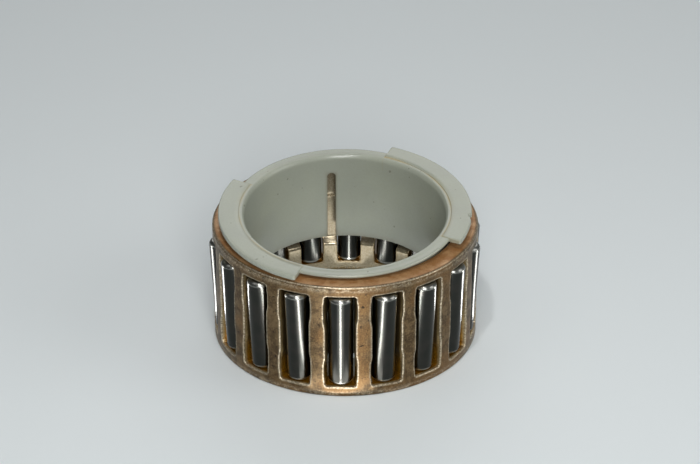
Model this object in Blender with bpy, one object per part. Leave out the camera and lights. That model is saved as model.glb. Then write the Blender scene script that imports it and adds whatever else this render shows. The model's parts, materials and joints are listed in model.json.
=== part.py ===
"""Needle roller bearing: one pocketed cage, 18 rollers and the slotted sleeve that keeps them in.

Metres, +Z up along the bearing's axis. The cage stands on z = 0 with the axis through the origin.
An azimuth of 0 degrees faces -Y and grows towards +X.
"""
import math

import bmesh
import bpy
from mathutils import Matrix, Vector

MM = 0.001

# ---- rollers -----------------------------------------------------------------------------------
SHAFT_R = 24.5 * MM             # circle that touches the rollers from inside, halfway up
ROLLER_COUNT = 18
ROLLER_R = 2.75 * MM
ROLLER_LENGTH = 22.2 * MM
ROLLER_CORNER = 1.0 * MM        # rounding of a roller's ends
ROLLER_LEAN = math.radians(3)   # the sleeve holds the tops out and lets the feet fall in

# ---- cage --------------------------------------------------------------------------------------
CAGE_OUT = 2.35 * MM            # cage wall outside the rollers' pitch circle
CAGE_IN = 2.3 * MM              # cage wall inside it
END_RING = 2.4 * MM             # solid ring below and above the pockets
CAGE_CORNER = 0.3 * MM          # bevel on the four rim edges
RECESS_DEPTH = 1.55 * MM        # groove turned in the bore, which thins the bars
RECESS_INSET = 4.6 * MM         # from a pocket's end to the groove's edge
RECESS_FLANK = 1.5 * MM         # height of the groove's sloping side

# ---- pockets, whose widths are gaps beside the roller, measured on the pitch circle --------------
POCKET_END_GAP = 0.22 * MM      # above and below the leaning roller
WAIST_GAP = 0.3 * MM            # guide faces at mid-height
BULGE_GAP = 0.62 * MM           # relief above and below the guide faces
CORNER_GAP = 0.45 * MM          # at the pocket's ends
POCKET_FLARE = 0.15             # each side wall opens outwards by this much per unit of radius
WAIST_HALF = 3.5 * MM           # half the length of the guide faces
WAIST_RAISE = 0.5 * MM          # their middle is this far above the cage's
WAIST_STEP = 2.2 * MM           # length over which a guide face falls back to the relief
POCKET_CORNER = 0.7 * MM        # size of a pocket's corner bevel
BULGE_INSET = 2.4 * MM          # from a pocket's end to its relief

# ---- sleeve, which leans back with its front lobes down on the cage ------------------------------
SLEEVE_TILT = math.radians(4.4)
SLEEVE_CLEARANCE = 0.32 * MM    # to the cage's bore and to the rollers, where they come closest
SLEEVE_WALL = 1.1 * MM
SLEEVE_LENGTH = 22.2 * MM
BEVEL_HEIGHT = 1.0 * MM         # lead-in at the top of its bore
BEVEL_WIDTH = 0.7 * MM
COLLAR_OVER = 0.55 * MM         # the collar is this much larger than the cage's bore
LOBE_GAP = 0.3 * MM             # between the lowest lobe corner and the cage's top face
LOBE_THICKNESS = 1.1 * MM
LOBE_SETBACK = 1.5 * MM         # the lobes stop this far inside the cage's outer edge
LOBE_SPAN = math.radians(94)
LOBE_AZIMUTHS = (math.radians(112.5), math.radians(-67.5))
LOBE_INSET = 1.2 * MM           # from the bore to the step where a lobe starts
COLLAR_STEP = 0.15 * MM         # the lobes stand this far above and below the collar
SLOT_WIDTH = 2.0 * MM
SLOT_INSET = 4.6 * MM           # from the collar's top down to the slot's rounded end
SLOT_AZIMUTH = math.radians(190)

# ---- worked out from the values above ----------------------------------------------------------
PITCH_R = SHAFT_R + ROLLER_R
CAGE_OUTER_R = PITCH_R + CAGE_OUT
CAGE_BORE_R = PITCH_R - CAGE_IN
ROLLER_RISE = (
    (ROLLER_LENGTH / 2 - ROLLER_CORNER) * math.cos(ROLLER_LEAN)
    + (ROLLER_R - ROLLER_CORNER) * math.sin(ROLLER_LEAN)
    + ROLLER_CORNER
)                               # from mid-height to the highest point of a leaning roller
POCKET_HALF = ROLLER_RISE + POCKET_END_GAP
CAGE_HEIGHT = 2 * (POCKET_HALF + END_RING)
MID_HEIGHT = CAGE_HEIGHT / 2
LOBE_R = CAGE_OUTER_R - LOBE_SETBACK
COLLAR_R = CAGE_BORE_R + COLLAR_OVER
LOBE_REACH = LOBE_R * max(math.cos(abs(middle) - LOBE_SPAN / 2) for middle in LOBE_AZIMUTHS)
SEAT_RISE = CAGE_HEIGHT + LOBE_GAP - MID_HEIGHT + LOBE_REACH * math.sin(SLEEVE_TILT)
SEAT_LIFT = SEAT_RISE / math.cos(SLEEVE_TILT)   # from mid-height to the lobes, along the sleeve
SLEEVE_DEPTH = SLEEVE_LENGTH - LOBE_THICKNESS
FOOT_DROP = SLEEVE_DEPTH - SEAT_LIFT            # from mid-height to the sleeve's lower edge
MOUTH_LIMIT = CAGE_BORE_R - MID_HEIGHT * math.tan(SLEEVE_TILT)
ROLLER_LIMIT = SHAFT_R - FOOT_DROP * (math.tan(SLEEVE_TILT) + math.tan(ROLLER_LEAN))
SLEEVE_R = (min(MOUTH_LIMIT, ROLLER_LIMIT) - SLEEVE_CLEARANCE) * math.cos(SLEEVE_TILT)
SLEEVE_BORE_R = SLEEVE_R - SLEEVE_WALL

# ---- facets and small allowances ---------------------------------------------------------------
RING_STEPS = 72
ROLLER_STEPS = 16
LOBE_STEPS = 18
SLOT_ARC_STEPS = 8
CORNER_STEPS = 2
CUT_PAST = 1.0 * MM             # how far a cutter runs past the wall it cuts
MERGE = 0.001 * MM


def clear_scene():
    for thing in list(bpy.data.objects):
        bpy.data.objects.remove(thing)


def make_material(name, colour, roughness, metallic):
    made = bpy.data.materials.new(name)
    made.use_nodes = True
    shader = made.node_tree.nodes["Principled BSDF"]
    shader.inputs["Base Color"].default_value = (*colour, 1.0)
    shader.inputs["Roughness"].default_value = roughness
    shader.inputs["Metallic"].default_value = metallic
    return made


def make_object(name, shape, material=None):
    """Turn a bmesh into an object. Without a material it is a cutter, which stays hidden."""
    mesh = bpy.data.meshes.new(name)
    shape.to_mesh(mesh)
    shape.free()
    made = bpy.data.objects.new(name, mesh)
    bpy.context.collection.objects.link(made)
    if material is None:
        made.hide_render = True
        made.display_type = "WIRE"
    else:
        mesh.materials.append(material)
        mesh.shade_smooth()
        mesh.set_sharp_from_angle(angle=math.radians(30))
    return made


def add_boolean(target, other, operation):
    modifier = target.modifiers.new(other.name, "BOOLEAN")
    modifier.operation = operation
    modifier.solver = "EXACT"
    modifier.object = other


def turn(profile, steps, closed):
    """Spin (radius, height) points about Z. A closed profile gives a ring, an open one a plug."""
    shape = bmesh.new()
    points = [shape.verts.new((radius, 0, height)) for radius, height in profile]
    pairs = list(zip(points, points[1:]))
    if closed:
        pairs.append((points[-1], points[0]))
    edges = [shape.edges.new(pair) for pair in pairs]
    bmesh.ops.spin(
        shape,
        geom=points + edges,
        cent=(0, 0, 0),
        axis=(0, 0, 1),
        angle=math.tau,
        steps=steps,
        use_merge=True,
    )
    bmesh.ops.remove_doubles(shape, verts=shape.verts[:], dist=MERGE)
    bmesh.ops.recalc_face_normals(shape, faces=shape.faces[:])
    return shape


def prism(shape, outline, along):
    """Add a closed solid: the outline's points, and the same points shifted by the vector along."""
    face = shape.faces.new([shape.verts.new(point) for point in outline])
    grown = bmesh.ops.extrude_face_region(shape, geom=[face])["geom"]
    moved = [item for item in grown if isinstance(item, bmesh.types.BMVert)]
    bmesh.ops.translate(shape, verts=moved, vec=along)


def loft(shape, first, last, place):
    """Add a closed solid between two outlines of equal length, both moved by the matrix place."""
    rings = [[shape.verts.new(place @ Vector(point)) for point in ring] for ring in (first, last)]
    count = len(first)
    for index in range(count):
        after = (index + 1) % count
        shape.faces.new((rings[0][index], rings[0][after], rings[1][after], rings[1][index]))
    shape.faces.new(reversed(rings[0]))
    shape.faces.new(rings[1])


def roller_place(index):
    """Origin at the roller's middle, local Z along its leaning axis."""
    azimuth = math.tau * index / ROLLER_COUNT
    return (
        Matrix.Rotation(azimuth, 4, "Z")
        @ Matrix.Translation((0, -PITCH_R, MID_HEIGHT))
        @ Matrix.Rotation(ROLLER_LEAN, 4, "X")
    )


def make_rollers(material):
    """One turned steel roller, repeated round the pitch circle."""
    half = ROLLER_LENGTH / 2
    end = []
    for step in range(CORNER_STEPS + 1):
        angle = math.pi / 2 * step / CORNER_STEPS
        radius = ROLLER_R - ROLLER_CORNER * (1 - math.sin(angle))
        end.append((radius, half - ROLLER_CORNER * (1 - math.cos(angle))))
    profile = [(0, half)] + end
    profile += [(radius, -height) for radius, height in reversed(profile)]
    first = make_object("roller_01", turn(profile, ROLLER_STEPS, closed=False), material)
    first.matrix_world = roller_place(0)
    for index in range(1, ROLLER_COUNT):
        copy = bpy.data.objects.new(f"roller_{index + 1:02d}", first.data)
        bpy.context.collection.objects.link(copy)
        copy.matrix_world = roller_place(index)


def pocket_side():
    """Points (half-width on the pitch circle, height from mid-height) up a pocket's side."""
    corner = ROLLER_R + CORNER_GAP
    bulge = ROLLER_R + BULGE_GAP
    waist = ROLLER_R + WAIST_GAP
    end = [
        (bulge, POCKET_HALF - BULGE_INSET),
        (corner, POCKET_HALF - BULGE_INSET / 2),
        (corner, POCKET_HALF - POCKET_CORNER),
        (corner - POCKET_CORNER, POCKET_HALF),
    ]
    land = [
        (bulge, WAIST_RAISE - WAIST_HALF - WAIST_STEP),
        (waist, WAIST_RAISE - WAIST_HALF),
        (waist, WAIST_RAISE + WAIST_HALF),
        (bulge, WAIST_RAISE + WAIST_HALF + WAIST_STEP),
    ]
    return [(width, -height) for width, height in reversed(end)] + land + end


def make_pockets():
    """One cutter mesh: a closed tapering plug for each pocket."""
    shape = bmesh.new()
    rights = pocket_side()
    stations = (CAGE_BORE_R - CUT_PAST, CAGE_OUTER_R + CUT_PAST)
    rings = []
    for radius in stations:
        spread = POCKET_FLARE * (radius - PITCH_R)
        right = [(width + spread, -radius, MID_HEIGHT + height) for width, height in rights]
        left = [(-across, depth, height) for across, depth, height in reversed(right)]
        rings.append(right + left)
    for index in range(ROLLER_COUNT):
        loft(shape, rings[0], rings[1], Matrix.Rotation(math.tau * index / ROLLER_COUNT, 4, "Z"))
    bmesh.ops.recalc_face_normals(shape, faces=shape.faces[:])
    return make_object("pocket_cutter", shape)


def make_cage(material):
    """A turned ring with a groove in its bore, pierced by the pockets."""
    recess_r = CAGE_BORE_R + RECESS_DEPTH
    recess_low = END_RING + RECESS_INSET
    recess_high = CAGE_HEIGHT - recess_low
    profile = [
        (CAGE_BORE_R + CAGE_CORNER, 0),
        (CAGE_OUTER_R - CAGE_CORNER, 0),
        (CAGE_OUTER_R, CAGE_CORNER),
        (CAGE_OUTER_R, CAGE_HEIGHT - CAGE_CORNER),
        (CAGE_OUTER_R - CAGE_CORNER, CAGE_HEIGHT),
        (CAGE_BORE_R + CAGE_CORNER, CAGE_HEIGHT),
        (CAGE_BORE_R, CAGE_HEIGHT - CAGE_CORNER),
        (CAGE_BORE_R, recess_high),
        (recess_r, recess_high - RECESS_FLANK),
        (recess_r, recess_low + RECESS_FLANK),
        (CAGE_BORE_R, recess_low),
        (CAGE_BORE_R, CAGE_CORNER),
    ]
    cage = make_object("cage", turn(profile, RING_STEPS, closed=True), material)
    add_boolean(cage, make_pockets(), "DIFFERENCE")


def around(radius, azimuth, height):
    return (radius * math.sin(azimuth), -radius * math.cos(azimuth), height)


def sleeve_place():
    """Origin where the lobes' underside meets the sleeve's axis, local Z along that axis.

    The axis crosses the bearing's own at mid-height and leans towards -Y above it."""
    return (
        Matrix.Translation((0, 0, MID_HEIGHT))
        @ Matrix.Rotation(SLEEVE_TILT, 4, "X")
        @ Matrix.Translation((0, 0, SEAT_LIFT))
    )


def make_lobes():
    """Two flat ring segments, slightly thicker than the collar that they grow out of."""
    shape = bmesh.new()
    inner_r = SLEEVE_BORE_R + LOBE_INSET
    for middle in LOBE_AZIMUTHS:
        turns = [middle + LOBE_SPAN * (step / LOBE_STEPS - 0.5) for step in range(LOBE_STEPS + 1)]
        outline = [around(LOBE_R, azimuth, 0) for azimuth in turns]
        outline += [around(inner_r, azimuth, 0) for azimuth in reversed(turns)]
        prism(shape, outline, (0, 0, LOBE_THICKNESS))
    bmesh.ops.recalc_face_normals(shape, faces=shape.faces[:])
    return make_object("sleeve_lobes", shape)


def make_slot():
    """An upright slot with a round top, open at the sleeve's lower edge."""
    shape = bmesh.new()
    half = SLOT_WIDTH / 2
    centre = LOBE_THICKNESS - COLLAR_STEP - SLOT_INSET - half
    start = SLEEVE_BORE_R - CUT_PAST
    turns = [math.pi * step / SLOT_ARC_STEPS for step in range(SLOT_ARC_STEPS + 1)]
    foot = -SLEEVE_DEPTH - CUT_PAST
    outline = [(half, -start, foot)]
    outline += [(half * math.cos(t), -start, centre + half * math.sin(t)) for t in turns]
    outline += [(-half, -start, foot)]
    prism(shape, outline, (0, -(SLEEVE_WALL + 2 * CUT_PAST), 0))
    bmesh.ops.rotate(
        shape,
        verts=shape.verts[:],
        cent=(0, 0, 0),
        matrix=Matrix.Rotation(SLOT_AZIMUTH, 3, "Z"),
    )
    bmesh.ops.recalc_face_normals(shape, faces=shape.faces[:])
    return make_object("slot_cutter", shape)


def make_sleeve(material):
    """A thin tube with a narrow collar and a bevelled mouth, joined to its lobes and slotted once."""
    collar_top = LOBE_THICKNESS - COLLAR_STEP
    profile = [
        (SLEEVE_BORE_R, -SLEEVE_DEPTH),
        (SLEEVE_R, -SLEEVE_DEPTH),
        (SLEEVE_R, COLLAR_STEP),
        (COLLAR_R, COLLAR_STEP),
        (COLLAR_R, collar_top),
        (SLEEVE_BORE_R + BEVEL_WIDTH, collar_top),
        (SLEEVE_BORE_R, collar_top - BEVEL_HEIGHT),
    ]
    sleeve = make_object("retaining_sleeve", turn(profile, RING_STEPS, closed=True), material)
    lobes = make_lobes()
    slot = make_slot()
    add_boolean(sleeve, lobes, "UNION")
    add_boolean(sleeve, slot, "DIFFERENCE")
    for piece in (sleeve, lobes, slot):
        piece.matrix_world = sleeve_place()


clear_scene()
make_cage(make_material("bronzed_cage", (0.36, 0.24, 0.13), 0.38, 0.9))
make_rollers(make_material("bearing_steel", (0.45, 0.45, 0.47), 0.18, 1.0))
make_sleeve(make_material("moulded_nylon", (0.52, 0.55, 0.50), 0.42, 0.0))
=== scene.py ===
# %% [markdown]
# # A caged needle roller bearing
# The object is a roller-and-cage assembly for a gearbox shaft: one bronzed ring with pockets, steel
# rollers standing in the pockets, and a pale nylon sleeve that keeps the rollers from falling inwards.
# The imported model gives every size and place. Here each piece is made again as a fine surface.

# %% Load the fixed frame
import json
import math

import bmesh
import bpy
import numpy as np
from mathutils import Matrix, Vector


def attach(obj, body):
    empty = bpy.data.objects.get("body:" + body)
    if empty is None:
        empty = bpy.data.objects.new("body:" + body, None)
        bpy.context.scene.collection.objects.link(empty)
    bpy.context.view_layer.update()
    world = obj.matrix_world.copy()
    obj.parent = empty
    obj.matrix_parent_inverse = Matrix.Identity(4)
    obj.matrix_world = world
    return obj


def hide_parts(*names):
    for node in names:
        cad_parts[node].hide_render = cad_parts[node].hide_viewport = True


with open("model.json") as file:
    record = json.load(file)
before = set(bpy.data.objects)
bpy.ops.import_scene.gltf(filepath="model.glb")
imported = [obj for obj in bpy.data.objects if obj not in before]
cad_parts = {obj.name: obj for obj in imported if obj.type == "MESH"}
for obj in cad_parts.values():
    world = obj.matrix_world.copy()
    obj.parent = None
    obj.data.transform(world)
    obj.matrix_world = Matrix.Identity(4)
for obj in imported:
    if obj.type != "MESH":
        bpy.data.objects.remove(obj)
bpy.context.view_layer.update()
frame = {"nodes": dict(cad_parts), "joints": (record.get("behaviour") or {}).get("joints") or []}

# %% [markdown]
# ## Sizes
# A turned part is described by its radii and heights. They are read off the frame's own vertices, so
# the fine surfaces land exactly where the working model has its faces. Only what is finer than the
# working model, such as the rounding of an edge, is chosen here, in millimetres.

# %% The cage's radii and heights
MM = 0.001
LEVEL = 0.01 * MM  # points closer than this count as lying at the same radius or height


def vertices_of(node):
    """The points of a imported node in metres: one row of x, y and z for each."""
    mesh = frame["nodes"][node].data
    flat = np.empty(len(mesh.vertices) * 3)
    mesh.vertices.foreach_get("co", flat)
    return flat.reshape(-1, 3)


cage_points = vertices_of("cage")
cage_radii = np.hypot(cage_points[:, 0], cage_points[:, 1])
CAGE_R = cage_radii.max()
BORE_R = cage_radii.min()
HEIGHT = cage_points[:, 2].max()
MIDDLE = HEIGHT / 2
print(f"cage {2 * CAGE_R / MM:.1f} x {HEIGHT / MM:.1f} mm, bore {2 * BORE_R / MM:.1f} mm")

# %% [markdown]
# The working model's roller has sixteen flat sides. A round roller that reached its corners would
# stand outside its flats, so the fine roller is a hair smaller.

# %% The rollers' sizes, measured along and across the first one's axis
FACET_ALLOWANCE = 0.045 * MM

spins = [joint for joint in frame["joints"] if joint.get("continuous")]
first_point = np.array(spins[0]["pos_m"])
first_axis = np.array(spins[0]["axis"])
reach = vertices_of(spins[0]["child"]) - first_point
along = reach @ first_axis
ROLLER_HALF = along.max()
ROLLER_R = np.linalg.norm(reach - np.outer(along, first_axis), axis=1).max() - FACET_ALLOWANCE
PITCH_R = math.hypot(first_point[0], first_point[1])
COUNT = len(spins)
SECTOR = math.tau / COUNT
print(f"{COUNT} rollers of {2 * ROLLER_R / MM:.2f} x {2 * ROLLER_HALF / MM:.1f} mm")

# %% The sleeve's own frame, tilted with its slide axis
slide = next(joint for joint in frame["joints"] if joint["type"] == "slide")
tilt = math.atan2(-slide["axis"][1], slide["axis"][2])
SLEEVE_PLACE = Matrix.Translation((0, 0, MIDDLE)) @ Matrix.Rotation(tilt, 4, "X")
turn_back = np.array(SLEEVE_PLACE.to_3x3())
sleeve_points = (vertices_of("retaining_sleeve") - np.array([0, 0, MIDDLE])) @ turn_back
sleeve_radii = np.hypot(sleeve_points[:, 0], sleeve_points[:, 1])
SLEEVE_BORE = sleeve_radii.min()
LOBE_R = sleeve_radii.max()
LOBE_TOP = sleeve_points[:, 2].max()
LOBE_UNDER = sleeve_points[sleeve_radii > LOBE_R - LEVEL, 2].min()
FOOT = sleeve_points[:, 2].min()
SLEEVE_R = sleeve_radii[sleeve_points[:, 2] < FOOT + LEVEL].max()
print(f"sleeve bore {2 * SLEEVE_BORE / MM:.1f} mm, lobes {2 * LOBE_R / MM:.1f} mm")
print(f"sleeve tilt {math.degrees(tilt):.1f} degrees")

# %% [markdown]
# ## Grids
# Every surface below is a grid: rows and columns of points computed as whole arrays. Neighbouring
# grids end on the same points, so joining them and merging what coincides gives one closed skin.

# %% Curves that several shapes share
def smooth_step(value, low, high):
    """0 below low, 1 above high, and the curve 3t^2 - 2t^3 in between."""
    share = np.clip((value - low) / (high - low), 0, 1)
    return share * share * (3 - 2 * share)


def blend(first, second, share):
    """The first value at share 0, the second at share 1, and in proportion in between."""
    return first + (second - first) * share


def around(radius, azimuth, height):
    """Points on a turned surface: azimuth 0 faces -Y and grows towards +X."""
    radius, azimuth, height = np.broadcast_arrays(radius, azimuth, height)
    return np.stack([radius * np.sin(azimuth), -radius * np.cos(azimuth), height], -1)


def azimuth_of(points):
    """The azimuth that around() would need for these points: the angle from -Y towards +X."""
    return np.arctan2(points[..., 0], -points[..., 1])


print("halfway up a smooth step:", smooth_step(0.5, 0, 1))

# %% From rows of points to grids, and from grids to a mesh
MERGE = 0.0004 * MM  # points of neighbouring grids closer than this become one
SLIVER = 0.0002 * MM  # faces thinner than this are taken out
SHARP = math.radians(40)  # faces that meet more steeply than this show a hard edge


def grid_quads(rows, columns, closed=False):
    """Four corner numbers for each cell of a grid that is numbered row by row."""
    last = columns if closed else columns - 1
    row, column = np.meshgrid(np.arange(rows - 1), np.arange(last), indexing="ij")
    after = (column + 1) % columns
    start = row * columns
    cells = [start + column, start + after, start + columns + after, start + columns + column]
    return np.stack(cells, -1).reshape(-1, 4)


def stack_rows(rows, names):
    """From rows of points with their field values: one grid of points, and one grid for each field."""
    grid = np.stack([points for points, _ in rows])
    fields = {
        name: np.stack([np.broadcast_to(values.get(name, 0.0), grid.shape[1]) for _, values in rows])
        for name in names
    }
    return grid, fields


class Skin:
    """Collects grids of points, each with its fields, until they become one mesh."""

    def __init__(self, names):
        self.names = names
        self.points = []
        self.quads = []
        self.fields = {name: [] for name in names}
        self.count = 0

    def add(self, grid, closed=False, **fields):
        """Add a grid; closed joins its last column to its first. A field that isn't given is 0."""
        rows, columns = grid.shape[:2]
        self.quads.append(grid_quads(rows, columns, closed) + self.count)
        self.points.append(grid.reshape(-1, 3))
        for name in self.names:
            value = np.broadcast_to(fields.get(name, 0.0), (rows, columns))
            self.fields[name].append(value.reshape(-1))
        self.count += rows * columns

    def piece(self, name, material):
        """Merge the grids where they meet, turn the faces outwards and shade them smooth."""
        mesh = bpy.data.meshes.new(name)
        mesh.from_pydata(np.concatenate(self.points), [], np.concatenate(self.quads))
        for field, values in self.fields.items():
            layer = mesh.attributes.new(field, "FLOAT", "POINT")
            layer.data.foreach_set("value", np.concatenate(values).astype(np.float32))
        shape = bmesh.new()
        shape.from_mesh(mesh)
        bmesh.ops.remove_doubles(shape, verts=shape.verts, dist=MERGE)
        bmesh.ops.dissolve_degenerate(shape, edges=shape.edges, dist=SLIVER)
        bmesh.ops.recalc_face_normals(shape, faces=shape.faces)
        open_edges = sum(not edge.is_manifold for edge in shape.edges)
        shape.to_mesh(mesh)
        shape.free()
        mesh.shade_smooth()
        mesh.set_sharp_from_angle(angle=SHARP)
        mesh.materials.append(material)
        made = bpy.data.objects.new(name, mesh)
        bpy.context.scene.collection.objects.link(made)
        print(f"{name}: {len(mesh.polygons)} faces, {open_edges} open edges")
        return made


print("a grid of 3 x 4 points has", len(grid_quads(3, 4)), "faces")

# %% [markdown]
# ## Node tools
# A surface finish is a small graph of nodes. One helper adds a node: it sets the node's own settings,
# then each input gets either a plain value or a link, depending on what it is handed.

# %% Colour and node helpers
def srgb(code):
    """A hex colour as painted on a screen, turned to the linear values that the renderer mixes."""
    parts = np.array([int(code[place:place + 2], 16) / 255 for place in (1, 3, 5)])
    curved = np.where(parts <= 0.04045, parts / 12.92, ((parts + 0.055) / 1.055) ** 2.4)
    return (*curved, 1.0)


def fill_inputs(tree, node, inputs):
    """Give each named or numbered input a plain value, or a link when it is handed an output."""
    for key, value in dict(inputs).items():
        if isinstance(value, bpy.types.NodeSocket):
            tree.links.new(value, node.inputs[key])
        else:
            node.inputs[key].default_value = value


def add_node(tree, kind, inputs=(), output=0, **settings):
    """Add a node with its settings and inputs, and hand back one of its outputs."""
    node = tree.nodes.new("ShaderNode" + kind)
    for key, value in settings.items():
        setattr(node, key, value)
    fill_inputs(tree, node, inputs)
    return node.outputs[output]


def new_finish(name):
    """A new material, with its node tree and the shader node in it."""
    made = bpy.data.materials.new(name)
    made.use_nodes = True
    tree = made.node_tree
    return made, tree, tree.nodes["Principled BSDF"]


SOFT = {"interpolation_type": "SMOOTHSTEP"}  # a range that fades in and out without corners
COLOUR = {"data_type": "RGBA"}  # a mix of colours, whose inputs are number 6 and 7
print("mid grey #808080 is", round(srgb("#808080")[0], 3), "in linear light")

# %% [markdown]
# A worn finish is many thin layers: base metal, stain, grime, scratches. Each layer below is a pattern,
# the two values between which the pattern fades in, how strong it gets, and its colour.

# %% Layers of colour, laid one over the other
def lay_colours(tree, tone, layers):
    """Over a tone lay each (pattern, low, high, strength, colour), fading in from low to high."""
    for pattern, low, high, strength, colour in layers:
        share = add_node(tree, "MapRange", {0: pattern, 1: low, 2: high, 4: strength}, **SOFT)
        over = srgb(colour) if isinstance(colour, str) else colour
        tone = add_node(tree, "Mix", {0: share, 6: tone, 7: over}, 2, **COLOUR)
    return tone


# %% [markdown]
# ## Bronzed cage metal
# The cage is a cast and turned copper alloy. Oil and heat have browned it, handling has mottled it,
# and every edge that a tool or a roller touched shines pale. A thin brown film lies on the metal, so
# it is a little less than fully metallic, and least so on the end face. Fields on the mesh say where
# edges are worn, where walls were cut, where the walls' depth gets painted shade, and where oil lies.

# %% Colours of the cage metal
BLOTCH = 2.6 * MM  # size of a patch of handling stain
CLOUD = 9.0 * MM  # size of the slow change from brown to tan
GRIT = 0.32 * MM  # size of a pit left by casting
SPECK = 0.8 * MM  # size of a dark fleck


def cage_colour(tree, blotch, grit, field):
    """Skin, end face, cut walls and bored bars have a colour each; the fields mix them."""
    where = add_node(tree, "TexCoord", output="Object")
    cloud = add_node(tree, "TexNoise", {"Vector": where, "Scale": 1 / CLOUD})
    speck = add_node(tree, "TexNoise", {"Vector": where, "Scale": 1 / SPECK, "Detail": 1.0})
    skin = lay_colours(tree, srgb("#53412a"), (
        (blotch, 0.40, 0.62, 1.00, "#786244"),  # lighter patches that hands have rubbed
        (cloud, 0.45, 0.62, 0.80, "#7a5a34"),  # a warmer brown that comes and goes
        (grit, 0.48, 0.66, 0.60, "#3f3124"),  # dirt in the pits
        (grit, 0.46, 0.34, 0.45, "#9a8259"),  # bare metal on the grains between them
        (speck, 0.69, 0.74, 0.85, "#231b13"),  # a few nearly black flecks
    ))
    coppery = lay_colours(tree, srgb("#a17244"), (
        (blotch, 0.38, 0.64, 1.00, "#ba9266"),
        (grit, 0.50, 0.70, 0.45, "#6c4727"),
    ))
    sawn = lay_colours(tree, srgb("#b29a6d"), ((grit, 0.35, 0.65, 1.0, "#8c754e"),))
    bored = lay_colours(tree, srgb("#d0c4aa"), ((grit, 0.35, 0.65, 1.0, "#a8977a"),))
    return lay_colours(tree, skin, (
        (field["face"], 0.0, 1.0, 1.00, coppery),
        (field["cut"], 0.0, 1.0, 1.00, sawn),
        (field["deep"], 0.0, 1.0, 0.85, "#4a3719"),  # painted shade that darkens the walls in the middle of their depth
        (field["bore"], 0.0, 1.0, 1.00, bored),
        (field["rubbed"], 0.0, 1.0, 1.00, "#e6d9bd"),  # the bright line along every edge
        (field["oil"], 0.0, 1.0, 0.90, "#a8741a"),  # amber oil at the pockets' feet
    ))


# %% Finish: browned copper alloy
def make_cage_metal():
    """Gloss is 0.46 to 0.36 on the skin, sharper where rubbed or bored, and wet where oil lies."""
    made, tree, shader = new_finish("browned_copper_alloy")
    field = {
        name: add_node(tree, "Attribute", output="Fac", attribute_name=name)
        for name in ("face", "cut", "deep", "bore", "wear", "oil")
    }
    where = add_node(tree, "TexCoord", output="Object")
    blotch = {"Vector": where, "Scale": 1 / BLOTCH, "Detail": 5.0, "Roughness": 0.65, "Distortion": 0.5}
    blotch = add_node(tree, "TexNoise", blotch)
    grit = {"Vector": where, "Scale": 1 / GRIT, "Detail": 3.0, "Roughness": 0.75}
    grit = add_node(tree, "TexNoise", grit)
    rubbed = add_node(tree, "MapRange", {0: grit, 1: 0.3, 2: 0.65, 3: 0.85, 4: 0.25}, **SOFT)
    rubbed = add_node(tree, "Math", {0: field["wear"], 1: rubbed}, operation="MULTIPLY")
    field["rubbed"] = rubbed
    dull = add_node(tree, "MapRange", {0: blotch, 1: 0.3, 2: 0.7, 3: 0.46, 4: 0.36}, **SOFT)
    dull = add_node(tree, "Mix", {0: rubbed, 2: dull, 3: 0.26})
    dull = add_node(tree, "Mix", {0: field["oil"], 2: dull, 3: 0.12})
    dull = add_node(tree, "Mix", {0: field["bore"], 2: dull, 3: 0.2})
    dry = add_node(tree, "Mix", {0: field["oil"], 2: 1.0, 3: 0.15})
    height = add_node(tree, "Math", {0: grit, 1: dry}, operation="MULTIPLY")
    fill_inputs(tree, shader, {
        "Base Color": cage_colour(tree, blotch, grit, field),
        "Metallic": add_node(tree, "Mix", {0: field["face"], 2: 0.72, 3: 0.25}),
        "Roughness": dull,
        "Normal": add_node(tree, "Bump", {"Height": height, "Distance": 0.012 * MM, "Strength": 0.6}),
    })
    return made


CAGE_METAL = make_cage_metal()
print("finish:", CAGE_METAL.name, "with", len(CAGE_METAL.node_tree.nodes), "nodes")

# %% [markdown]
# ## Bearing steel
# Rollers are through-hardened chrome steel, ground between wheels. Grinding leaves hair-fine lines
# round the roller, far too fine to see one by one: here they are drawn 0.12 mm apart, as a very
# faint bump. Their main effect is on gloss: it is stretched along the roller, so the finish is
# anisotropic. The ends are only tumbled, so they are duller; their paler colour is a painted
# reflection of the light from above on the rounded corners.

# %% Finish: ground bearing steel
SMEAR = 2.5 * MM  # size of a smear of oil
LINES = 0.12 * MM  # from one grinding line to the next


def make_roller_steel():
    """Dark mirror steel, its darkness a painted dark reflection: gloss stretched along the axis, paler at
    the ends as a painted reflection, with 1-D noise lines.
    """
    made, tree, shader = new_finish("ground_bearing_steel")
    end = add_node(tree, "Attribute", output="Fac", attribute_name="end")
    along = add_node(tree, "Attribute", output="Fac", attribute_name="along")
    where = add_node(tree, "TexCoord", output="Object")
    smear = add_node(tree, "TexNoise", {"Vector": where, "Scale": 1 / SMEAR, "Detail": 3.0})
    lines = add_node(tree, "TexNoise", {"W": along, "Scale": 1 / LINES}, noise_dimensions="1D")
    # painted dark reflection: this base is far darker than bare steel, standing in for the dark
    # surroundings that polished rollers mirror
    tone = lay_colours(tree, srgb("#353633"), (
        (smear, 0.35, 0.70, 1.0, "#3b3a37"),
        # painted reflection: the rounded ends are paler, standing in for the light from above that they
        # mirror
        (end, 0.0, 1.0, 1.0, "#9a9a94"),
    ))
    fill_inputs(tree, shader, {
        "Base Color": tone,
        "Metallic": 1.0,
        "Roughness": add_node(tree, "Mix", {0: end, 2: 0.23, 3: 0.3}),
        "Anisotropic": 0.6,
        "Anisotropic Rotation": 0.25,
        "Tangent": add_node(tree, "Tangent", direction_type="RADIAL", axis="Z"),
        "Normal": add_node(tree, "Bump", {"Height": lines, "Distance": 0.0005 * MM, "Strength": 0.3}),
    })
    return made


STEEL = make_roller_steel()
print("finish:", STEEL.name, "with", len(STEEL.node_tree.nodes), "nodes")

# %% [markdown]
# ## Moulded nylon
# The sleeve is injection-moulded polyamide, pale grey-green. Its surface has the soft sheen of the
# mould, faint flow clouds, a yellow line of old oil where each lobe starts, and a few dark specks.

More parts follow.
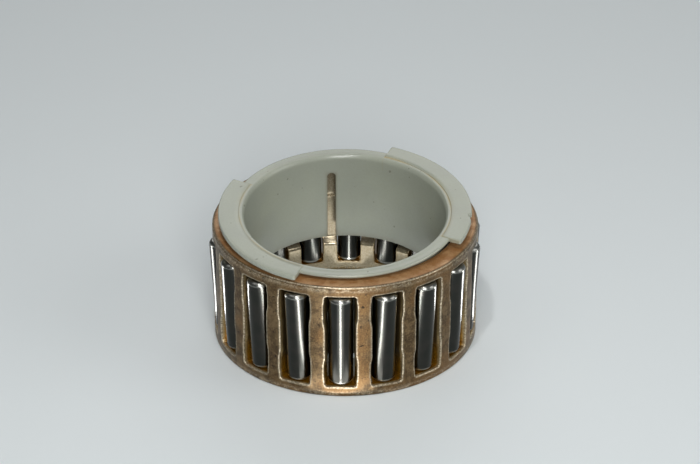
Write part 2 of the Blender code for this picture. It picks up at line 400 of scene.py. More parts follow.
# %% Finish: moulded nylon
FLOW = 9.0 * MM  # size of a cloud where the nylon flowed together
MOULD_GRAIN = 0.5 * MM  # size of the mould's grain
DIRT = 1.3 * MM  # size of the pattern whose peaks are the dark specks


def make_nylon():
    """Pale plastic, a little translucent: clouds and grain, then stain and grime from the fields."""
    made, tree, shader = new_finish("moulded_polyamide")
    stain = add_node(tree, "Attribute", output="Fac", attribute_name="stain")
    grime = add_node(tree, "Attribute", output="Fac", attribute_name="grime")
    where = add_node(tree, "TexCoord", output="Object")
    cloud = add_node(tree, "TexNoise", {"Vector": where, "Scale": 1 / FLOW, "Detail": 1.0})
    fine = add_node(tree, "TexNoise", {"Vector": where, "Scale": 1 / MOULD_GRAIN})
    speck = add_node(tree, "TexNoise", {"Vector": where, "Scale": 1 / DIRT, "Detail": 1.0})
    uneven = add_node(tree, "MapRange", {0: cloud, 1: 0.3, 2: 0.6, 3: 0.35, 4: 1.0}, **SOFT)
    stain = add_node(tree, "Math", {0: stain, 1: uneven}, operation="MULTIPLY")
    tone = lay_colours(tree, srgb("#9fa396"), (
        (cloud, 0.30, 0.70, 1.00, "#a4a899"),  # flow clouds
        (fine, 0.35, 0.70, 0.12, "#939684"),  # the mould's grain
        (stain, 0.0, 1.0, 0.75, "#a8935c"),  # yellow oil lines
        (grime, 0.0, 1.0, 0.80, "#6b5a3a"),  # brown dirt at the slot and the foot
        (speck, 0.755, 0.775, 0.45, "#5d5648"),  # dark specks
    ))
    fill_inputs(tree, shader, {
        "Base Color": tone,
        "Roughness": add_node(tree, "MapRange", {0: cloud, 1: 0.3, 2: 0.7, 3: 0.23, 4: 0.25}),
        "IOR": 1.53,
        "Subsurface Weight": 0.08,
        "Subsurface Radius": (0.6, 0.5, 0.4),
        "Subsurface Scale": 1.0 * MM,
        "Normal": add_node(tree, "Bump", {"Height": fine, "Distance": 0.004 * MM, "Strength": 0.2}),
    })
    return made


NYLON = make_nylon()
print("finish:", NYLON.name, "with", len(NYLON.node_tree.nodes), "nodes")

# %% [markdown]
# ## The cage
# A cage could be a ring with boxes cut out of it, but then every cut edge would be knife-sharp. So
# one sector is made as a single grid that is carried round its pocket: it starts on the sector's
# border on the outside, runs to the pocket's edge, rolls over it, goes down the pocket's wall, rolls
# over the inner edge and spreads out on the bore to the same border. Copies close the ring.

# %% Sizes of a pocket, and of the edges that the tools left
END_RING = 2.4 * MM  # solid ring below and above the pockets
POCKET_HALF = MIDDLE - END_RING
CORNER = 0.65 * MM  # rounding of a pocket's corners
FLARE = 0.15  # the walls open outwards by this much per unit of radius
EDGE = 0.24 * MM  # rounding of a pocket's outer edge
INNER_EDGE = 0.2 * MM
RIM_EDGE = 0.5 * MM
BORE_EDGE = 0.35 * MM
RECESS = 1.55 * MM  # depth of the groove in the bore
RECESS_INSET = 4.6 * MM  # from a pocket's end to that groove
FLANK = 1.5 * MM  # height of the groove's sloping side
print(f"pockets {2 * POCKET_HALF / MM:.1f} mm high, one every {math.degrees(SECTOR):.0f} degrees")

# %% How wide a pocket is
RAISE = 0.5 * MM  # the waist's middle is this far above the cage's
DRAWN_INSET = (2.4 * MM, 1.2 * MM)  # from a pocket's end to where it starts and stops to draw in
LAND_DEPTH = (0.05, 0.3)  # shares of the wall's depth where the outside's shape starts and stops to fade
# The next four hold a value for the pocket's outside and one for its inside.
WAIST_RISE = ((3.5 * MM, 5.7 * MM), (4.7 * MM, 5.0 * MM))  # from there to there it becomes relief
WAIST_GAP = (0.3 * MM, 0.22 * MM)  # room beside the roller
RELIEF = (0.32 * MM, 0.1 * MM)  # more room above and below the waist
DRAWN_IN = (0.17 * MM, 0.06 * MM)  # less room again at the ends


def bore_radius(height):
    """The bore's radius at a height: the plain bore, deepened between two soft flanks."""
    inset = POCKET_HALF - RECESS_INSET
    return BORE_R + RECESS * (1 - smooth_step(np.abs(height - MIDDLE), inset - FLANK, inset))


def half_width(height, depth):
    """Half a pocket's width on the pitch circle. height is from the middle, depth is 0 to 1 inwards.

    Roller radius + waist gap + relief - what the ends are drawn in, each a smooth step of height.
    Towards the inside the waist becomes a sharper land and the relief shallower."""
    inside = smooth_step(depth, *LAND_DEPTH)
    off = np.abs(height - RAISE)
    rise = blend(smooth_step(off, *WAIST_RISE[0]), smooth_step(off, *WAIST_RISE[1]), inside)
    drawn = smooth_step(np.abs(height), POCKET_HALF - DRAWN_INSET[0], POCKET_HALF - DRAWN_INSET[1])
    waist = blend(*WAIST_GAP, inside)
    relief = blend(*RELIEF, inside)
    return ROLLER_R + waist + relief * rise - blend(*DRAWN_IN, inside) * drawn


print(f"pocket {2 * half_width(RAISE, 0) / MM:.2f} mm wide at its waist")

# %% The pocket's outline, and the way out of it at each point
SIDE_STEPS = 60
CORNER_STEPS = 6
TOP_STEPS = 14


def pocket_outline():
    """Points (across, height) round a pocket on the cage's outer face.

    Straight sides follow half_width; the corners are quarter circles."""
    straight = POCKET_HALF - CORNER
    rise = np.linspace(-straight, straight, SIDE_STEPS + 1)
    side = half_width(rise, 0.0) + FLARE * (CAGE_R - PITCH_R)
    end = side[-1] - CORNER
    turn = np.linspace(0, math.pi / 2, CORNER_STEPS + 1)[1:-1]
    top = np.linspace(end, -end, TOP_STEPS + 1)
    across = np.concatenate([side, end + CORNER * np.cos(turn), top, -end - CORNER * np.sin(turn)])
    height = np.concatenate([
        rise,
        straight + CORNER * np.sin(turn),
        np.full(top.size, POCKET_HALF),
        straight + CORNER * np.cos(turn),
    ])
    return np.concatenate([across, -across]), np.concatenate([height, -height])


def ways_out(across, height):
    """Unit vectors out of the pocket: from neighbour to neighbour, turned by a right angle."""
    tangent_x = np.roll(across, -1) - np.roll(across, 1)
    tangent_z = np.roll(height, -1) - np.roll(height, 1)
    length = np.hypot(tangent_x, tangent_z)
    return tangent_z / length, -tangent_x / length


ACROSS, RISE = pocket_outline()
OUT_X, OUT_Z = ways_out(ACROSS, RISE)
print("outline:", ACROSS.size, "points")

# %% [markdown]
# The sector's border is a rectangle round the pocket. Each point of the outline gets its partner on
# the border: the outline is stretched until the middle of each rounded corner lands on a corner of
# the rectangle, and what would go further is held on its sides.

# %% The sector's border: azimuth and height of each outline point's partner
def sector_border():
    """The outline divided by its corners' middles, kept within -1 to 1, times the sector's half size."""
    diagonal = CORNER * (1 - math.sin(math.pi / 4))
    corner_x = half_width(POCKET_HALF - CORNER, 0.0) + FLARE * (CAGE_R - PITCH_R) - diagonal
    corner_z = POCKET_HALF - diagonal
    rise = np.clip(RISE / corner_z, -1, 1) * (MIDDLE - RIM_EDGE)
    return np.clip(ACROSS / corner_x, -1, 1) * SECTOR / 2, rise


BORDER_A, BORDER_Z = sector_border()
on_top = (np.abs(BORDER_Z) > (MIDDLE - RIM_EDGE) * 0.9999) & (BORDER_Z > 0)
TOP_AZIMUTHS = np.sort(np.unique(np.round(BORDER_A[on_top], 9)))
print("columns on a sector's top edge:", TOP_AZIMUTHS.size)

# %% Rows on the outside, from the border to the pocket's rounded edge
EDGE_SHINE = 0.16 * MM  # width of the pale line that wear leaves beside an edge
RIM_RUB = 0.65  # how much the two end rings are rubbed


def outside_rows():
    """Straight from the border to the edge, then a quarter circle inwards, with each row's wear."""
    rows = []
    azimuth = np.arcsin(ACROSS / CAGE_R)
    edge_a = azimuth + OUT_X * EDGE / CAGE_R
    edge_z = RISE + OUT_Z * EDGE
    for share in (0, 0.3, 0.55, 0.75, 0.9, 1):
        spread = blend(BORDER_A, edge_a, share)
        rise = blend(BORDER_Z, edge_z, share)
        gap = np.hypot((spread - azimuth) * CAGE_R, rise - RISE) - EDGE
        rubbed = RIM_RUB * smooth_step(np.abs(rise), POCKET_HALF + 0.4 * MM, MIDDLE - 0.5 * MM)
        worn = np.maximum(0.8 * np.exp(-gap / EDGE_SHINE), rubbed)
        rows.append((around(CAGE_R, spread, rise + MIDDLE), {"wear": worn}))
    for turn in np.radians((22.5, 45, 67.5, 90)):
        out = EDGE * (1 - math.sin(turn))
        radius = CAGE_R - EDGE * (1 - math.cos(turn))
        rise = RISE + OUT_Z * out + MIDDLE
        rows.append((around(radius, azimuth + OUT_X * out / CAGE_R, rise), {"wear": 1}))
    return rows


print("rows on the outside:", len(outside_rows()))

# %% Rows down the pocket's wall
OIL_HEIGHTS = (3.0 * MM, 10.0 * MM)  # below the middle the oil gathers from the first to the second
OILY = smooth_step(-RISE, *OIL_HEIGHTS)  # how oily the wall is at each point of the outline
WALL_BOW = 0.75  # how far the wall's inner end follows the bore's curve


def wall_rows():
    """Flat-sided walls: across is half_width plus the flare, depth runs from the edge to the bore.

    The wall is rubbed at its mouth, darkened by painted shade in the middle of its depth, and oily at its
    foot."""
    rows = []
    azimuth = np.arcsin(ACROSS / CAGE_R)
    outer_y = (CAGE_R - EDGE) * np.cos(azimuth)
    inner_y = np.sqrt(bore_radius(RISE + MIDDLE) ** 2 - (WALL_BOW * ACROSS) ** 2) + INNER_EDGE
    base = half_width(RISE, 0.0) + FLARE * (CAGE_R - PITCH_R)
    for share in (0.06, 0.13, 0.2, 0.3, 0.45, 0.6, 0.75, 0.9, 1):
        y = blend(outer_y, inner_y, share)
        x = ACROSS * (half_width(RISE, share) + FLARE * (y - PITCH_R)) / base
        depth = (CAGE_R - EDGE) - np.hypot(x, y)
        # Painted shade: the wall darkens from 0.3 mm to 1 mm deep, and this shade fades out again from 3.4
        # mm to 4.2 mm deep.
        shade_fade = 1 - smooth_step(depth, 3.4 * MM, 4.2 * MM)
        rows.append((np.stack([x, -y, RISE + MIDDLE], -1), {
            "wear": 0.7 * np.exp(-depth / (0.22 * MM)),
            "cut": 1,
            "oil": OILY * smooth_step(depth, 0.25 * MM, 0.9 * MM),
            "deep": smooth_step(depth, 0.3 * MM, 1.0 * MM) * shade_fade,
        }))
    return rows


print("rows down the wall:", len(wall_rows()))

# %% Rows over the inner edge and out on the bore
def bore_rows(inner_x):
    """A quarter circle from the wall's last row, whose across is inner_x, then straight to the border."""
    rows = []
    inner_r = bore_radius(RISE + MIDDLE)
    inner_a = np.arcsin(inner_x / inner_r)
    for turn in np.radians((30, 60, 90)):
        out = INNER_EDGE * (1 - math.cos(turn))
        radius = inner_r + INNER_EDGE * (1 - math.sin(turn))
        rise = RISE + OUT_Z * out + MIDDLE
        values = {"wear": 0.4, "cut": 1, "oil": 0.2 * OILY, "bore": 0.5}
        rows.append((around(radius, inner_a + OUT_X * out / inner_r, rise), values))
    edge_a = inner_a + OUT_X * INNER_EDGE / inner_r
    for share in (0.2, 0.45, 0.7, 1):
        rise = blend(RISE + OUT_Z * INNER_EDGE, BORDER_Z, share) + MIDDLE
        points = around(bore_radius(rise), blend(edge_a, BORDER_A, share), rise)
        rows.append((points, {"wear": 0.1, "cut": 1, "bore": 1}))
    return rows


def sector_grid(names):
    """All of a sector's rows, from its outer border over the pocket's wall to its inner border."""
    walls = wall_rows()
    last_x = walls[-1][0][:, 0]
    return stack_rows(outside_rows() + walls + bore_rows(last_x), names)


print("rows and columns of a sector:", sector_grid(("wear",))[0].shape[:2])

# %% [markdown]
# The two end faces close the ring. Their profile starts where the sectors' outer border stops, rounds
# the rim, crosses the flat face and rounds the bore's edge down to the sectors' inner border.

# %% Profile of an end face
def rim_profile():
    """Radius, height, wear, cut and face values across the top end face, from outside to bore."""
    turn = np.linspace(0, math.pi / 2, 7)
    flat = np.linspace(CAGE_R - RIM_EDGE, BORE_R + BORE_EDGE, 9)[1:-1]
    back = np.linspace(math.pi / 2, 0, 6)
    radius = np.concatenate([
        CAGE_R - RIM_EDGE * (1 - np.cos(turn)),
        flat,
        BORE_R + BORE_EDGE * (1 - np.cos(back)),
        [BORE_R],
    ])
    height = np.concatenate([
        HEIGHT - RIM_EDGE * (1 - np.sin(turn)),
        np.full(flat.size, HEIGHT),
        HEIGHT - BORE_EDGE * (1 - np.sin(back)),
        [HEIGHT - RIM_EDGE],
    ])
    edge = np.exp(-(((np.arange(radius.size) - 3.2) / 1.9) ** 2))
    face = smooth_step(CAGE_R - radius, 0.4 * MM, 0.7 * MM)
    cut = 0.5 * smooth_step(BORE_R + 0.3 * MM - radius, 0, 0.3 * MM)
    return radius, height, edge, cut, face


# %% Put the sectors and the end faces together
def make_cage():
    """One sector turned into every place, and the end-face profile turned once for top and bottom."""
    names = ("wear", "cut", "oil", "deep", "bore", "face")
    skin = Skin(names)
    rows, fields = sector_grid(names)
    for number in range(COUNT):
        turn = np.array(Matrix.Rotation(number * SECTOR, 3, "Z"))
        skin.add(rows @ turn.T, closed=True, **fields)
    azimuths = np.concatenate([TOP_AZIMUTHS[:-1] + number * SECTOR for number in range(COUNT)])
    radius, height, edge, cut, face = (values[:, None] for values in rim_profile())
    skin.add(around(radius, azimuths, height), closed=True, wear=edge, cut=cut, face=face)
    skin.add(around(radius, azimuths, HEIGHT - height), closed=True, wear=0.5 * edge, cut=cut)
    made = skin.piece("cage_body", CAGE_METAL)
    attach(made, "cage")
    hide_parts("cage")


make_cage()

# %% [markdown]
# ## The rollers
# A roller is a profile turned about its own axis: a slightly dished end, a quarter-round corner and
# a plain cylinder. The frame's joints hold each roller's middle and its leaning axis, so one set of
# points is carried to every joint.

# %% A roller's profile
ROLLER_CORNER = 1.0 * MM
END_DISH = 0.05 * MM  # how far the middle of an end lies below its rim


def roller_profile():
    """Radius and height from the middle, up one half: cylinder, quarter-round corner, dished end."""
    body = np.linspace(0, ROLLER_HALF - ROLLER_CORNER, 6)[:-1]
    turn = np.linspace(0, math.pi / 2, 11)
    flat = ROLLER_R - ROLLER_CORNER
    end = flat * np.array([0.8, 0.55, 0.25, 0.0])
    radius = np.concatenate([np.full(body.size, ROLLER_R), flat + ROLLER_CORNER * np.cos(turn), end])
    dish = ROLLER_HALF - END_DISH * (1 - (end / flat) ** 2)
    rise = np.concatenate([body, ROLLER_HALF - ROLLER_CORNER * (1 - np.sin(turn)), dish])
    return radius, rise


print("points up one half:", roller_profile()[0].size)

# %% Turn one roller and stand a copy in each pocket
ROLLERS = bpy.data.collections.new("rollers")  # some lamps below light only what is in here
ROLLER_STEPS = 64
LINE_SHIFT = 0.1  # metres along the line pattern from one roller to the next, so no two are alike


def make_rollers():
    """The whole profile turned about Z, leaned onto each joint's axis and moved to its point."""
    radius, rise = roller_profile()
    radius = np.concatenate([radius[:0:-1], radius])[:, None]
    rise = np.concatenate([-rise[:0:-1], rise])[:, None]
    end = smooth_step(np.abs(rise), ROLLER_HALF - ROLLER_CORNER, ROLLER_HALF - 0.6 * ROLLER_CORNER)
    local = around(radius, np.linspace(0, math.tau, ROLLER_STEPS, endpoint=False), rise)
    for number, joint in enumerate(spins):
        lean = Vector((0, 0, 1)).rotation_difference(Vector(joint["axis"])).to_matrix()
        placed = local @ np.array(lean).T + np.array(joint["pos_m"])
        skin = Skin(("along", "end"))
        skin.add(placed, closed=True, along=rise + number * LINE_SHIFT, end=end)
        made = skin.piece(joint["child"] + "_body", STEEL)
        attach(made, joint["child"])
        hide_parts(joint["child"])
        ROLLERS.objects.link(made)


make_rollers()

# %% [markdown]
# ## The sleeve
# The sleeve is a thin tube whose top spreads into a narrow collar and two lobes, so its section
# changes with azimuth: a function gives the section's outer radius and thickness at each azimuth, and
# the columns crowd together where a lobe ends. The slot is a patch of its own, a grid carried round
# the slot's outline as the cage's grid is carried round a pocket.

# %% Sizes of the collar and the lobes
COLLAR_R = BORE_R + 0.55 * MM
COLLAR_STEP = 0.15 * MM  # the lobes stand this far above and below the collar
COLLAR_TOP = LOBE_TOP - COLLAR_STEP
COLLAR_UNDER = LOBE_UNDER + COLLAR_STEP
COLLAR_EDGE = 0.38 * MM
LOBE_SPAN = math.radians(94)
LOBE_MIDDLES = (math.radians(112.5), math.radians(-67.5))
LOBE_INSET = 1.2 * MM  # from the bore to the step where a lobe starts
LOBE_CORNER = 0.5 * MM
LOBE_EDGE = 0.22 * MM
CROWN = 0.12 * MM  # the collar's top falls by this much towards its mouth
MOUTH_DIP = 0.03 * MM  # the mouth starts this far below the collar's top
BEVEL_WIDTH = 0.7 * MM
BEVEL_HEIGHT = 1.0 * MM
print(f"collar {2 * COLLAR_R / MM:.1f} mm, its top at {COLLAR_TOP / MM:.1f} mm above the middle")

# %% Sizes of the slot and of the patch of wall round it
SLOT_AZIMUTH = math.radians(190)
SLOT_HALF = 1.0 * MM
SLOT_TOP = COLLAR_TOP - 4.6 * MM
SLOT_EDGE = 0.12 * MM
SLOT_CENTRE = SLOT_TOP - SLOT_HALF  # height of the middle of its round end
PATCH_HALF = 2.6 * MM
PATCH_TOP = SLOT_TOP + 1.6 * MM
SIDE_POINTS = 33
ARC_POINTS = 15
print(f"slot {2 * SLOT_HALF / MM:.1f} x {(SLOT_TOP - FOOT) / MM:.1f} mm")


# %% The slot's outline and its partners on the patch's border
def slot_outline():
    """Up one side, round a half circle and down the other side, with the way out at each point."""
    rise = np.linspace(FOOT, SLOT_CENTRE, SIDE_POINTS)
    side = np.ones(SIDE_POINTS)
    turn = np.linspace(0, math.pi, ARC_POINTS + 2)[1:-1]
    across = np.concatenate([-SLOT_HALF * side, -SLOT_HALF * np.cos(turn), SLOT_HALF * side])
    height = np.concatenate([rise, SLOT_CENTRE + SLOT_HALF * np.sin(turn), rise[::-1]])
    out_x = np.concatenate([-side, -np.cos(turn), side])
    out_z = np.concatenate([0 * side, np.sin(turn), 0 * side])
    return across, height, out_x, out_z


def patch_border(across, height):
    """The outline divided by its corners at 45 degrees, kept within range, times the patch's size."""
    corner = math.sin(math.pi / 4) * SLOT_HALF
    border_x = np.clip(across / corner, -1, 1) * PATCH_HALF
    share = np.clip((height - FOOT) / (SLOT_CENTRE + corner - FOOT), 0, 1)
    return border_x, FOOT + share * (PATCH_TOP - FOOT), share > 0.9999


# %% The patch: outside wall, rounded edge, the slot's own wall, rounded edge, inside wall
def slot_patch():
    """Rows from the border to the slot's edge at the sleeve's radius, over, and back at its bore's.

    Also hands back the heights up the patch's side and the azimuths along its top."""
    across, height, out_x, out_z = slot_outline()
    border_x, border_z, top = patch_border(across, height)
    rows = []

    def row(radius, x, z):
        """A row of the patch, whose x is measured along the arc from the slot's middle."""
        rows.append(around(radius, SLOT_AZIMUTH + x / SLEEVE_R, z))

    def flat_row(radius, amount):
        """A row between the border at amount 0 and the edge at amount 1."""
        x = blend(border_x, across + out_x * SLOT_EDGE, amount)
        row(radius, x, blend(border_z, height + out_z * SLOT_EDGE, amount))

    def edge_row(surface, inwards, angle):
        """A row on the quarter circle that leads from a surface into the slot's wall."""
        out = SLOT_EDGE * (1 - math.sin(angle))
        sunk = SLOT_EDGE * (1 - math.cos(angle))
        row(surface + inwards * sunk, across + out_x * out, height + out_z * out)

    for amount in (0, 0.35, 0.7, 1):
        flat_row(SLEEVE_R, amount)
    for angle in np.radians((45, 90)):
        edge_row(SLEEVE_R, -1, angle)
    for angle in np.radians((90, 45)):
        edge_row(SLEEVE_BORE, 1, angle)
    for amount in (1, 0.7, 0.35, 0):
        flat_row(SLEEVE_BORE, amount)
    grid = np.stack(rows)
    for end in (0, -1):
        radii = np.hypot(grid[:, end, 0], grid[:, end, 1])
        grid[:, end] = around(radii, azimuth_of(grid[:, end]), FOOT)
    up_side = np.arange(across.size) <= np.argmax(top)
    return grid, border_z[up_side], border_x[top] / SLEEVE_R


print("rows in the patch:", len(slot_patch()[0]))

# %% [markdown]
# A lobe ends on a radius, with rounded corners, and one lobe has a small chip in its edge. All of
# this depends on one number: how far along the edge a column is from the nearest lobe end.

# %% Distance to a lobe's end, the chip, and rounded corners
NICK_AZIMUTH = math.radians(87)


def turn_between(azimuth, other):
    """The azimuth measured from the other one, brought into the range of -180 to 180 degrees."""
    return (azimuth - other + math.pi) % math.tau - math.pi


def lobe_distance(azimuth):
    """Arc length at the lobes' edge from the nearest lobe end, positive inside a lobe."""
    best = np.full(np.shape(azimuth), -1.0)
    for middle in LOBE_MIDDLES:
        off = np.abs(turn_between(azimuth, middle))
        best = np.maximum(best, (LOBE_SPAN / 2 - off) * LOBE_R)
    return best


def nick(azimuth):
    """How deep a small chip in one lobe's edge is: two overlapping bell curves along the arc."""
    arc = turn_between(azimuth, NICK_AZIMUTH) * LOBE_R
    notch = 0.65 * MM * np.exp(-((arc / (0.6 * MM)) ** 4))
    return notch + 0.3 * MM * np.exp(-(((arc + 1.0 * MM) / (0.5 * MM)) ** 2))


def quarter(distance, radius):
    """How far a quarter circle of this radius still is below its full height, at a distance in."""
    inside = np.clip(radius - distance, 0, radius)
    return radius - np.sqrt(radius**2 - inside**2)


print(f"the chip is {nick(NICK_AZIMUTH) / MM:.2f} mm deep")


# %% Parts of the flange's section, as rows of radius, height and stain
def under_rows(end, under):
    """The fillet from the tube to the collar's underside, then flat to where the edge starts."""
    joint = SLEEVE_R + 0.5 * MM
    return [
        (SLEEVE_R + 0.05 * MM, COLLAR_UNDER - 0.03 * MM, 0.5),
        (SLEEVE_R + 0.18 * MM, COLLAR_UNDER, 0.5),
        (joint, COLLAR_UNDER, 0.3),
        (joint + 0.05 * MM, under, 0),
        (blend(joint + 0.05 * MM, end, 0.5), under, 0),
    ]


def step_rows(step, top, lobe):
    """The low step from a lobe down to the collar, where old oil has left its line."""
    return [
        (step + 0.12 * MM, top - 0.1 * CROWN, 0.35 * lobe),
        (step + 0.04 * MM, blend(top, COLLAR_TOP, 0.5), 0.7 * lobe),
        (step - 0.04 * MM, COLLAR_TOP - 0.02 * MM, 0.7 * lobe),
        (step - 0.25 * MM, COLLAR_TOP - MOUTH_DIP, 0.5 * lobe),
    ]


def mouth_rows():
    """The rounded bevel of the mouth, a flattened quarter circle, and the bore down to the patch."""
    mouth = COLLAR_TOP - MOUTH_DIP
    rows = []
    for turn in np.linspace(0, 1, 9):
        across = BEVEL_WIDTH * (1 - math.sin(turn * math.pi / 2)) ** 0.8
        down = BEVEL_HEIGHT * (1 - math.cos(turn * math.pi / 2))
        rows.append((SLEEVE_BORE + across, mouth - down, 0))
    for share in (0.35, 0.7, 1):
        rows.append((SLEEVE_BORE, blend(mouth - BEVEL_HEIGHT, PATCH_TOP, share), 0))
    return rows


# %% The section at each azimuth, from the tube's outside round the flange to its bore
def flange_section(azimuth):
    """Rows of radius, height and stain: where gap is positive the sizes are a lobe's, else the collar's."""
    gap = lobe_distance(azimuth)
    lobe = (gap > -0.004 * MM).astype(float)
    reach = np.where(lobe > 0, LOBE_R - quarter(gap, LOBE_CORNER) - nick(azimuth), COLLAR_R)
    shrink = np.where(lobe > 0, quarter(gap, LOBE_EDGE), 0)
    top = np.where(lobe > 0, LOBE_TOP - shrink, COLLAR_TOP)
    under = np.where(lobe > 0, LOBE_UNDER + shrink, COLLAR_UNDER)
    edge = np.minimum(np.where(lobe > 0, LOBE_EDGE, COLLAR_EDGE), (top - under) / 2)
    step = SLEEVE_BORE + LOBE_INSET
    rows = [(SLEEVE_R, blend(PATCH_TOP, COLLAR_UNDER, share), 0) for share in (0, 0.35, 0.7, 0.93)]
    rows += under_rows(reach - edge, under)
    quarters = np.radians((0, 22.5, 45, 67.5, 90))
    for turn in quarters:
        rows.append((reach - edge * (1 - math.sin(turn)), under + edge * (1 - math.cos(turn)), 0))
    for turn in quarters[::-1]:
        rows.append((reach - edge * (1 - math.sin(turn)), top - edge * (1 - math.cos(turn)), 0))
    for share in (0.25, 0.5, 0.75):
        bend = CROWN * (1 - lobe) * share**2
        rows.append((blend(reach - edge, step + 0.1 * MM, share), top - bend, 0))
    rows += step_rows(step, top, lobe) + mouth_rows()
    return (np.stack([np.broadcast_to(row[part], azimuth.shape) for row in rows]) for part in range(3))


print("rows in the section:", len(next(flange_section(np.zeros(1)))))

# %% Where the columns stand
PLAIN_STEPS = 180
CROWDED = np.array([-0.3, -0.1, -0.01, 0, 0.02, 0.05, 0.1, 0.16, 0.23, 0.32, 0.42, 0.52, 0.8]) * MM
CLEAR = 1.2 * MM  # no plain column stands closer than this to a lobe's end


def sleeve_azimuths(patch_turns):
    """Column places: even steps, crowded at the four lobe ends, and none inside the slot's patch.

    Hands back the columns of the tube below the flange, and those with the patch's own added."""
    steps = np.linspace(0, math.tau, PLAIN_STEPS + 1)[:-1]
    crowd = []
    for middle in LOBE_MIDDLES:
        for side in (-1, 1):
            end = middle + side * LOBE_SPAN / 2
            steps = steps[np.abs(turn_between(steps, end)) > CLEAR / LOBE_R]
            crowd.append(middle + side * (LOBE_SPAN / 2 - CROWDED / LOBE_R))
    crowd.append(NICK_AZIMUTH + np.linspace(-2.1, 1.1, 25) * MM / LOBE_R)
    every = np.concatenate([steps, *crowd]) % math.tau
    half = PATCH_HALF / SLEEVE_R
    away = (every - SLOT_AZIMUTH - half) % math.tau
    span = math.tau - 2 * half
    margin = 0.3 * MM / SLEEVE_R
    kept = np.sort(away[(away > margin) & (away < span - margin)])
    main = SLOT_AZIMUTH + half + np.concatenate([[0], kept, [span]])
    return main, np.concatenate([main[:-1], SLOT_AZIMUTH + patch_turns[:-1] + math.tau])


print("columns in the tube:", sleeve_azimuths(np.zeros(1))[0].size)

# %% Put the sleeve together
LIP_GRIME = np.array((0, 0, 0.2, 0.6, 0.8, 0.8, 0.8, 0.8, 0.6, 0.2, 0, 0))[:, None]  # by patch row


def make_sleeve():
    """Patch and its two side strips, tube outside and inside, foot ring and flange, as one skin."""
    skin = Skin(("stain", "grime"))
    patch, side_heights, patch_turns = slot_patch()
    main, every = sleeve_azimuths(np.sort(patch_turns))
    low = smooth_step(patch[..., 2], FOOT + 3 * MM, FOOT)
    skin.add(patch, grime=0.3 * low + 0.7 * LIP_GRIME)
    for column in (0, -1):
        strip = patch[:, column]
        half = len(strip) // 2
        skin.add(np.stack([strip[:half], strip[::-1][:half]]), grime=0.5)
    rise = side_heights[:, None]
    low = 0.3 * smooth_step(rise, FOOT + 2 * MM, FOOT)
    skin.add(around(SLEEVE_R, main, rise), grime=low)
    skin.add(around(SLEEVE_BORE, main, rise), grime=low)
    skin.add(around(np.array([SLEEVE_R, SLEEVE_BORE])[:, None], main, FOOT), grime=0.5)
    radius, height, mark = flange_section(every)
    near_end = np.exp(-np.abs(lobe_distance(every)) / (0.25 * MM))
    skin.add(around(radius, every, height), True, stain=mark + 0.3 * near_end, grime=0.1 * near_end)
    made = skin.piece("sleeve_body", NYLON)
    made.data.transform(SLEEVE_PLACE)
    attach(made, "retaining_sleeve")
    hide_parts("retaining_sleeve")


make_sleeve()

# %% [markdown]
# ## Floor, light and camera
# The bearing stands on a plain pale floor. Small soft lamps high in front model the round corners and
# set a spark on the sleeve's far rim, and wide panels fill from the front, the sides and the back.

# %% Floor and world
FLOOR_HALF = 4.0
ROOM_GLOW = (0.05, 0.17)  # strength to the left and to the right


def make_floor():
    """A flat square round the origin at height 0."""
    made, tree, shader = new_finish("pale_floor")
    fill_inputs(tree, shader, {"Base Color": srgb("#e4eaeb"), "Roughness": 0.6})
    corners = FLOOR_HALF * np.array([(-1, -1, 0), (1, -1, 0), (1, 1, 0), (-1, 1, 0)])
    mesh = bpy.data.meshes.new("floor")
    mesh.from_pydata(corners, [], [(0, 1, 2, 3)])
    mesh.materials.append(made)
    floor = bpy.data.objects.new("floor", mesh)
    bpy.context.scene.collection.objects.link(floor)


def make_world():
    """A grey room that is darker to the left of the bearing than to its right."""
    world = bpy.data.worlds.new("soft_room")
    bpy.context.scene.world = world
    world.use_nodes = True
    tree = world.node_tree
    way = add_node(tree, "TexCoord", output="Generated")
    side = add_node(tree, "SeparateXYZ", {0: way}, "X")
    reach = {0: side, 1: -0.8, 2: 0.8, 3: ROOM_GLOW[0], 4: ROOM_GLOW[1]}
    strength = add_node(tree, "MapRange", reach, **SOFT)
    fill_inputs(tree, tree.nodes["Background"], {"Color": srgb("#dfe6e8"), "Strength": strength})


make_floor()
make_world()
print("world:", bpy.context.scene.world.name)

# %% Lamps: a name, a place in metres, a width and height, and a power in watts
CENTRE = (0, 0, MIDDLE)


def add_lamp(name, place, aim, size, power):
    """A rectangular lamp at a place, facing the point aim."""
    lamp = bpy.data.lights.new(name, "AREA")
    lamp.shape = "RECTANGLE"
    lamp.size, lamp.size_y = size
    lamp.energy = power
    made = bpy.data.objects.new(name, lamp)
    made.location = place
    made.rotation_euler = (Vector(aim) - Vector(place)).to_track_quat("-Z", "Y").to_euler()
    bpy.context.scene.collection.objects.link(made)
    return made


for name, place, size, power in (
    ("high_front", (0.02, -0.15, 0.40), (0.08, 0.22), 0.2),
    ("high_spark", (-0.03, -0.15, 0.40), (0.02, 0.02), 0.3),
    ("front_panel", (0.06, -0.62, 0.36), (0.25, 0.25), 2.5),
    ("right_panel", (0.45, -0.10, 0.28), (0.3, 0.3), 0.55),
    ("left_top", (-0.22, -0.05, 0.42), (0.2, 0.2), 0.12),
    ("back_panel", (0.0, 0.45, 0.34), (0.5, 0.2), 0.55),
):
    add_lamp(name, place, CENTRE, size, power)
print("lamps:", len(bpy.data.lights))

# %% [markdown]
# A polished upright cylinder that is seen from above mirrors the table in front of it. A thin fan of
# light on the table therefore draws one upright line on every roller. The fan widens with its
# distance, so that the line keeps its width, and it shows on the rollers only. A wider and much
# weaker fan shows on everything that faces the front, and a short one on the ring below the pockets.
# Three more thin fans do the same for the other sides, and two lie inside the bearing.

# %% The fans of light on the table
LAMP_HEIGHT = 0.8 * MM


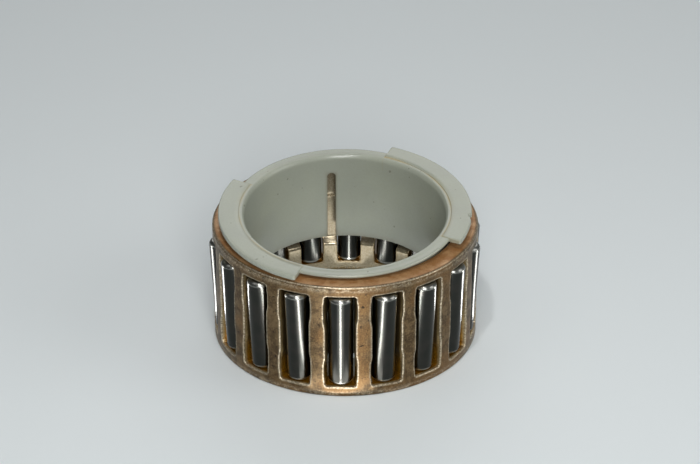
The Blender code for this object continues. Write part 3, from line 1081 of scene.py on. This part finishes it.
def add_fan(name, start, reaches, spread, glow, receivers=None, turn=0):
    """Lamps in a row on the table, from the radius start outwards, each as wide as spread asks.

    Width is spread times distance, and power is glow times area. turn is the fan's azimuth in
    degrees: 0 leads to the front. The lamps show only in reflections, and never to the camera."""
    for near, far in zip(reaches[:-1], reaches[1:]):
        away = (near + far) / 2
        size = (spread * away + 0.3 * MM, far - near)
        x, y, z = around(start + away, math.radians(turn), LAMP_HEIGHT)
        fan = add_lamp(name, (x, y, z), (x, y, 1.0), size, glow * size[0] * size[1])
        fan.rotation_euler.rotate_axis("Z", -math.radians(turn))
        fan.visible_camera = False
        fan.visible_diffuse = False
        fan.light_linking.receiver_collection = receivers


OUTSIDE = np.array((1, 6, 12, 20, 30, 44, 62)) * MM  # distances in front of the cage
INSIDE = np.array((2, 8, 16, 26)) * MM  # distances in front of the far side of the bore
add_fan("thin_fan", CAGE_R, OUTSIDE, 0.19, 190, ROLLERS)
add_fan("wide_fan", CAGE_R, OUTSIDE, 1.2, 7.5)
add_fan("low_ring_fan", CAGE_R, OUTSIDE[:2] - 0.7 * MM, 6.0, 14)
for side_turn in (90, 180, 270):
    add_fan("side_fan", CAGE_R, OUTSIDE[1:], 0.3, 80, ROLLERS, side_turn)
add_fan("inner_thin_fan", -BORE_R, INSIDE, 0.19, 90, ROLLERS)
add_fan("inner_wide_fan", -BORE_R, INSIDE, 1.0, 2.5)
print("lamps with the fans:", len(bpy.data.lights))

# %% [markdown]
# The camera looks down on the bearing from the front with a long lens, so that its upright lines stay
# nearly parallel.

# %% Camera
CAMERA_AZIMUTH = math.radians(2)
CAMERA_ELEVATION = math.radians(30.7)
CAMERA_DISTANCE = 20 * CAGE_R
LENS = 135.2
AIM = Vector((0, 0, 0.45 * CAGE_R))
TURN_RIGHT = math.radians(0.105)
TURN_UP = math.radians(0.937)


def make_camera():
    """Outwards from AIM by azimuth and elevation, then turned a little to the right and upwards."""
    flat = math.cos(CAMERA_ELEVATION)
    outward = Vector((
        flat * math.sin(CAMERA_AZIMUTH),
        -flat * math.cos(CAMERA_AZIMUTH),
        math.sin(CAMERA_ELEVATION),
    ))
    data = bpy.data.cameras.new("camera")
    data.lens = LENS
    data.clip_start = 0.01
    made = bpy.data.objects.new("camera", data)
    facing = (-outward).to_track_quat("-Z", "Y")
    aimed = Vector((-math.tan(TURN_RIGHT), -math.tan(TURN_UP), -1.0)).normalized()
    turn = aimed.rotation_difference(Vector((0, 0, -1)))
    made.rotation_mode = "QUATERNION"
    made.rotation_quaternion = facing @ turn
    made.location = AIM + outward * CAMERA_DISTANCE
    bpy.context.scene.collection.objects.link(made)
    bpy.context.scene.camera = made


make_camera()
bpy.context.scene.view_settings.view_transform = "Standard"
print(f"camera {CAMERA_DISTANCE:.2f} m away, lens {LENS} mm")
